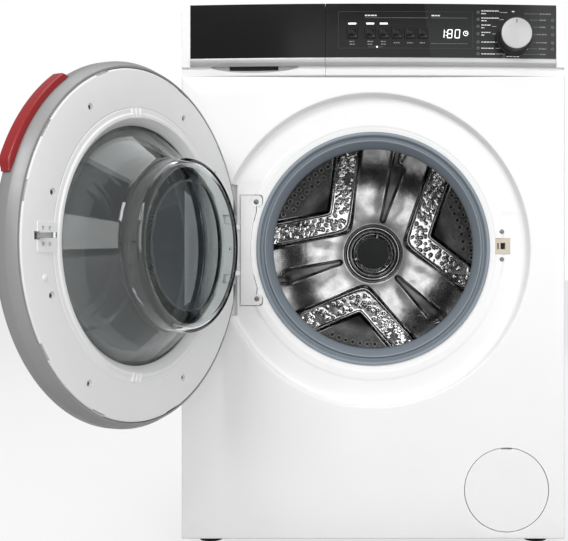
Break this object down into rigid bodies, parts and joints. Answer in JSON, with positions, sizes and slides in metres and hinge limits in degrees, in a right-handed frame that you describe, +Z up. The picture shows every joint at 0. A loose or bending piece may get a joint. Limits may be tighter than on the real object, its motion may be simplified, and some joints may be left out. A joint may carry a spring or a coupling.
{
  "type": "front load washing machine",
  "caption": "Front load washer-dryer cabinet with round glass door, detergent drawer, knob and button console, suspended tub, perforated drum, belt drive, drain filter flap and levelling feet.",
  "frame": {"origin": "on the floor under the middle of the front panel's face", "axes": "+Z up, +Y from the front panel back into the cabinet, +X to the right when facing the door"},
  "size_m": [0.7093, 1.015, 0.845],
  "materials": {
    "white_enamel": "gloss",
    "white_plastic": "satin",
    "ring_plastic": "matte",
    "gloss_black": "gloss",
    "silver_plastic": "satin",
    "red_plastic": "satin",
    "grey_rubber": "matte",
    "beige_plastic": "matte",
    "clear_glass": "clear",
    "smoked_plastic": "gloss",
    "stainless_steel": "brushed",
    "galvanised_steel": "matte",
    "grey_plastic": "matte",
    "concrete": "rough",
    "cast_aluminium": "cast",
    "black_rubber": "matte",
    "circuit_board": "matte"
  },
  "bodies": {
    "cabinet": {"left_side_panel": "white_enamel", "right_side_panel": "white_enamel", "rear_panel": "galvanised_steel", "rear_service_cover": "galvanised_steel", "front_panel": "white_enamel", "top_cover": "white_plastic", "base_frame": "grey_plastic", "console_fascia": "white_plastic", "console_window": "gloss_black", "console_trim": "silver_plastic", "control_board": "circuit_board", "drawer_housing": "grey_plastic", "water_inlet_valve": "white_plastic", "cable_gland": "black_rubber", "drain_outlet": "grey_plastic", "drain_pump": "grey_plastic", "door_lock": "beige_plastic", "hinge_bracket": "white_plastic", "hinge_pin": "stainless_steel"},
    "door": {"door_outer_frame": "silver_plastic", "door_inner_frame": "ring_plastic", "door_glass": "clear_glass", "door_outer_window": "smoked_plastic", "door_handle": "red_plastic", "door_hinge_arms": "white_plastic"},
    "latch_hook": {"latch_hook": "stainless_steel"},
    "drawer": {"drawer_front": "white_plastic", "drawer_tray": "white_plastic"},
    "program_knob": {"program_knob": "silver_plastic"},
    "filter_flap": {"filter_flap": "white_plastic"},
    "pump_filter": {"pump_filter": "white_plastic"},
    "tub": {"tub_front": "grey_plastic", "tub_rear": "grey_plastic", "front_counterweight": "concrete", "motor_body": "cast_aluminium", "door_gasket": "grey_rubber", "heater": "stainless_steel", "dryer_duct": "cast_aluminium", "drive_belt": "black_rubber", "spring_left": "stainless_steel", "spring_right": "stainless_steel", "damper_left": "grey_plastic", "damper_right": "grey_plastic"},
    "drum": {"drum_basket": "stainless_steel", "lifter_1": "grey_plastic", "lifter_2": "grey_plastic", "lifter_3": "grey_plastic", "drum_spider": "cast_aluminium", "drum_pulley": "cast_aluminium"},
    "motor_rotor": {"motor_rotor": "stainless_steel"},
    "button_start_pause": {"button_start_pause": "gloss_black"},
    "button_dry_option": {"button_dry_option": "gloss_black"},
    "button_temp_dry": {"button_temp_dry": "gloss_black"},
    "button_delay": {"button_delay": "gloss_black"},
    "button_spin": {"button_spin": "gloss_black"},
    "button_temperature": {"button_temperature": "gloss_black"},
    "front_left_foot": {"front_left_foot": "black_rubber"},
    "front_right_foot": {"front_right_foot": "black_rubber"},
    "rear_left_foot": {"rear_left_foot": "black_rubber"},
    "rear_right_foot": {"rear_right_foot": "black_rubber"}
  },
  "joints": [
    {"name": "door_swing", "type": "hinge", "parent": "cabinet", "child": "door", "pos_m": [-0.221, -0.012, 0.4645], "axis": [0, 0, 1], "range_deg": [-6, 112]},
    {"name": "latch_pivot", "type": "hinge", "parent": "door", "child": "latch_hook", "pos_m": [-0.38036, -0.40642, 0.471], "axis": [0, 0, 1], "range_deg": [0, 2.8], "stiffness_Nm_per_rad": 0.1},
    {"name": "drawer_slide", "type": "slide", "parent": "cabinet", "child": "drawer", "axis": [0, -1, 0], "range_m": [0, 0.2]},
    {"name": "knob_turn", "type": "hinge", "parent": "cabinet", "child": "program_knob", "pos_m": [0.218, -0.02, 0.793], "axis": [0, 1, 0], "continuous": true},
    {"name": "press_start_pause", "type": "slide", "parent": "cabinet", "child": "button_start_pause", "axis": [0, 1, 0], "range_m": [0, 0.0012], "stiffness_N_per_m": 600},
    {"name": "press_dry_option", "type": "slide", "parent": "cabinet", "child": "button_dry_option", "axis": [0, 1, 0], "range_m": [0, 0.0012], "stiffness_N_per_m": 600},
    {"name": "press_temp_dry", "type": "slide", "parent": "cabinet", "child": "button_temp_dry", "axis": [0, 1, 0], "range_m": [0, 0.0012], "stiffness_N_per_m": 600},
    {"name": "press_delay", "type": "slide", "parent": "cabinet", "child": "button_delay", "axis": [0, 1, 0], "range_m": [0, 0.0012], "stiffness_N_per_m": 600},
    {"name": "press_spin", "type": "slide", "parent": "cabinet", "child": "button_spin", "axis": [0, 1, 0], "range_m": [0, 0.0012], "stiffness_N_per_m": 600},
    {"name": "press_temperature", "type": "slide", "parent": "cabinet", "child": "button_temperature", "axis": [0, 1, 0], "range_m": [0, 0.0012], "stiffness_N_per_m": 600},
    {"name": "flap_swing", "type": "hinge", "parent": "cabinet", "child": "filter_flap", "pos_m": [0.2077, 0.001, 0.0308], "axis": [1, 0, 0], "range_deg": [0, 45]},
    {"name": "filter_turn", "type": "hinge", "parent": "cabinet", "child": "pump_filter", "pos_m": [0.2077, 0.03, 0.0908], "axis": [0, 1, 0], "range_deg": [0, 90]},
    {"name": "tub_float", "type": "slide", "parent": "cabinet", "child": "tub", "axis": [0, 0, 1], "range_m": [-0.006, 0.006], "stiffness_N_per_m": 12000, "springref_m": 0.0279, "deforming": ["spring_left", "spring_right", "damper_left", "damper_right", "door_gasket"]},
    {"name": "drum_spin", "type": "hinge", "parent": "tub", "child": "drum", "pos_m": [0, 0.3, 0.467], "axis": [0, 1, 0], "continuous": true},
    {"name": "rotor_spin", "type": "hinge", "parent": "tub", "child": "motor_rotor", "pos_m": [0.07, 0.4, 0.118], "axis": [0, 1, 0], "continuous": true},
    {"name": "front_left_foot_adjust", "type": "slide", "parent": "cabinet", "child": "front_left_foot", "axis": [0, 0, -1], "range_m": [0, 0.012]},
    {"name": "front_right_foot_adjust", "type": "slide", "parent": "cabinet", "child": "front_right_foot", "axis": [0, 0, -1], "range_m": [0, 0.012]},
    {"name": "rear_left_foot_adjust", "type": "slide", "parent": "cabinet", "child": "rear_left_foot", "axis": [0, 0, -1], "range_m": [0, 0.012]},
    {"name": "rear_right_foot_adjust", "type": "slide", "parent": "cabinet", "child": "rear_right_foot", "axis": [0, 0, -1], "range_m": [0, 0.012]}
  ],
  "couplings": [
    {"joint": "rotor_spin", "follows": "drum_spin", "ratio": 12.504}
  ]
}
